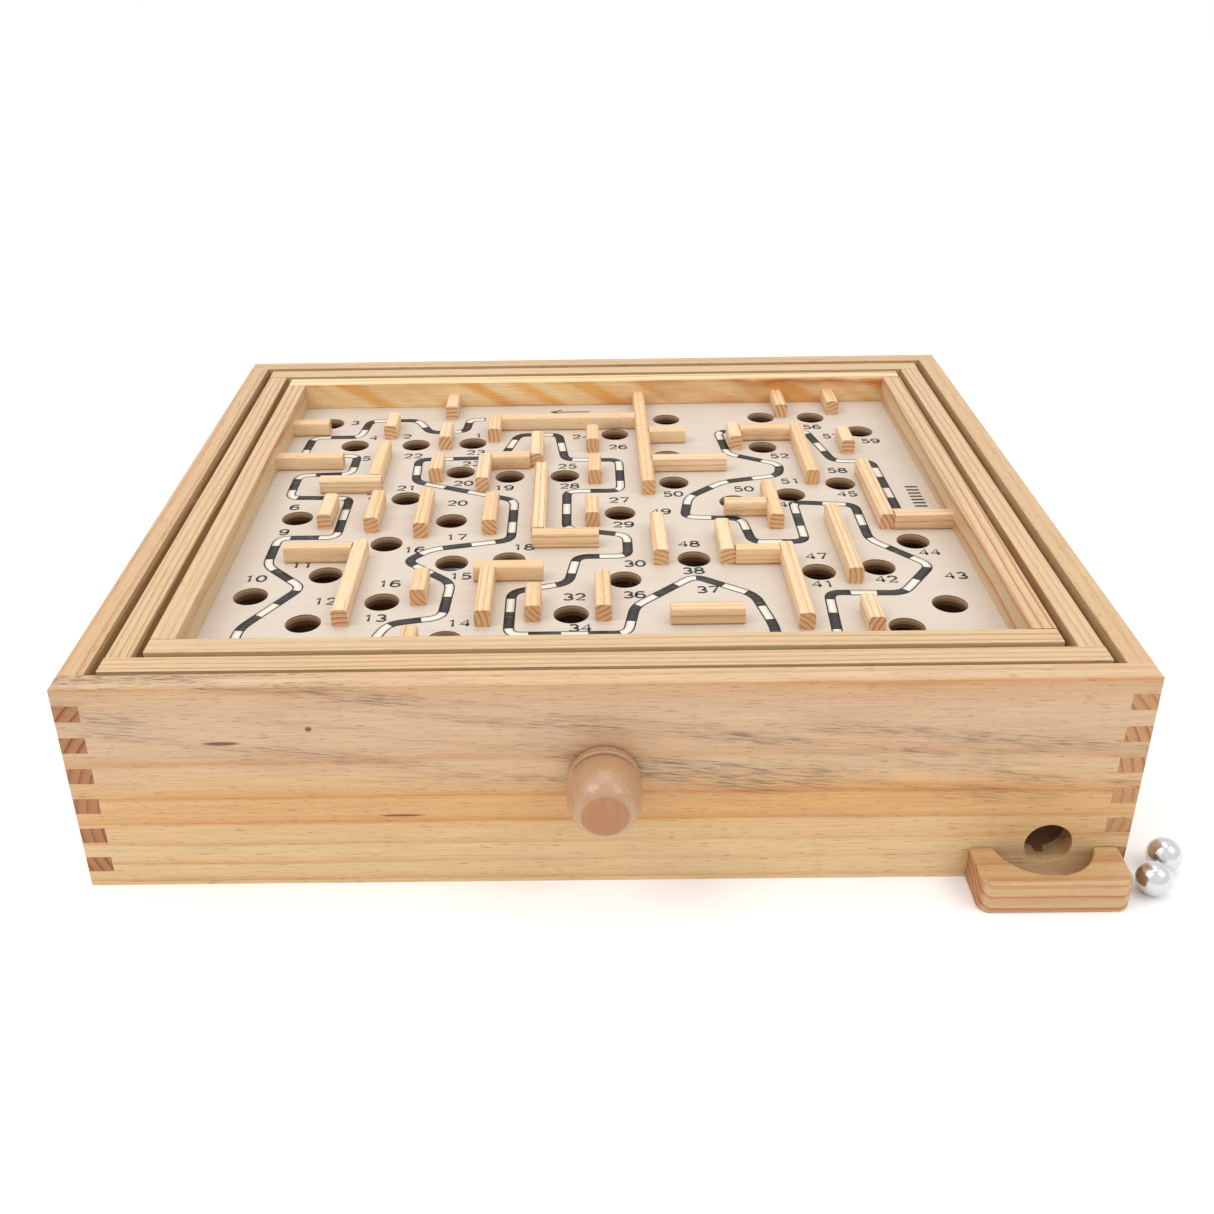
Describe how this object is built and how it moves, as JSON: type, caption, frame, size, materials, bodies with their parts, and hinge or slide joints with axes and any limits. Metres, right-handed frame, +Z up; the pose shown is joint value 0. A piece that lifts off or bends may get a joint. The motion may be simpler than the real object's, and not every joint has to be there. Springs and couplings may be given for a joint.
{
  "type": "tilt maze game",
  "caption": "Wooden tilt maze game: two knobs rock a holed maze board in nested frames inside a finger-jointed box, and dropped balls roll to a corner tray.",
  "frame": {"origin": "on the surface that the game stands on, at the middle of the space that it takes up with its knobs and tray", "axes": "+X to the player's right, +Y away from the player to the back, +Z up; the front wall with its knob and tray faces -Y"},
  "size_m": [0.3504, 0.3064, 0.075],
  "materials": {
    "box_pine": "smooth sanded pine, matt clear seal",
    "frame_pine": "planed pine with straight orange grain",
    "floor_ply": "thin plywood sheet",
    "board_ply": "pale birch-faced plywood, printed",
    "bar_pine": "sanded pine strip",
    "knob_beech": "turned beech, gloss lacquer",
    "steel_rod": "drawn steel rod",
    "ball_steel": "ground and polished steel ball",
    "wire_steel": "zinc-plated wire",
    "cord_nylon": "twisted nylon cord",
    "white_plastic": "moulded nylon"
  },
  "bodies": {
    "box": {"front_wall": "box_pine", "back_wall": "box_pine", "left_wall": "box_pine", "right_wall": "box_pine", "floor_panel": "floor_ply", "ball_guide": "box_pine", "ball_tray": "box_pine", "outer_pivot_pins": "steel_rod", "outer_pivot_washers": "white_plastic"},
    "outer_frame": {"outer_front_rail": "frame_pine", "outer_back_rail": "frame_pine", "outer_left_rail": "frame_pine", "outer_right_rail": "frame_pine", "inner_pivot_pins": "steel_rod", "inner_pivot_washers": "white_plastic", "outer_frame_eyes": "wire_steel", "side_cord": "cord_nylon", "side_cord_spring": "wire_steel"},
    "inner_frame": {"inner_front_rail": "frame_pine", "inner_back_rail": "frame_pine", "inner_left_rail": "frame_pine", "inner_right_rail": "frame_pine", "maze_board": "board_ply", "maze_bars_16": "bar_pine", "maze_bars_19": "bar_pine", "maze_bars_22": "bar_pine", "maze_bars_25": "bar_pine", "maze_bars_28": "bar_pine", "maze_bars_31": "bar_pine", "maze_bars_35": "bar_pine", "maze_bars_52": "bar_pine", "maze_bars_60": "bar_pine", "maze_bars_100": "bar_pine", "inner_frame_eyes": "wire_steel", "front_cord": "cord_nylon", "front_cord_spring": "wire_steel"},
    "front_control": {"front_shaft": "steel_rod", "front_knob": "knob_beech", "front_shaft_collar": "white_plastic"},
    "side_control": {"side_shaft": "steel_rod", "side_knob": "knob_beech", "side_shaft_collar": "white_plastic"},
    "maze_ball_body": {"maze_ball": "ball_steel"},
    "spare_ball_body": {"spare_ball": "ball_steel"}
  },
  "joints": [
    {"name": "outer_tilt", "type": "hinge", "parent": "box", "child": "outer_frame", "pos_m": [-0.0102, 0.0102, 0.066], "axis": [1, 0, 0], "range_deg": [-5, 5], "deforming": ["side_cord", "side_cord_spring", "front_cord"]},
    {"name": "inner_tilt", "type": "hinge", "parent": "outer_frame", "child": "inner_frame", "pos_m": [-0.0102, 0.0102, 0.066], "axis": [0, 1, 0], "range_deg": [-5, 5], "deforming": ["front_cord", "front_cord_spring"]},
    {"name": "front_knob_turn", "type": "hinge", "parent": "box", "child": "front_control", "pos_m": [-0.0102, 0.0102, 0.042], "axis": [0, 1, 0], "range_deg": [-36, 36]},
    {"name": "side_knob_turn", "type": "hinge", "parent": "box", "child": "side_control", "pos_m": [-0.0102, 0.0102, 0.0355], "axis": [1, 0, 0], "range_deg": [-46, 46]},
    {"name": "maze_ball_lift", "type": "slide", "parent": "box", "child": "maze_ball_body", "axis": [0, 0, 1], "range_m": [0, 0.05]},
    {"name": "spare_ball_lift", "type": "slide", "parent": "box", "child": "spare_ball_body", "axis": [0, 0, 1], "range_m": [0, 0.05]}
  ],
  "couplings": [
    {"joint": "front_knob_turn", "follows": "inner_tilt", "ratio": -7},
    {"joint": "side_knob_turn", "follows": "outer_tilt", "ratio": -9.1}
  ]
}
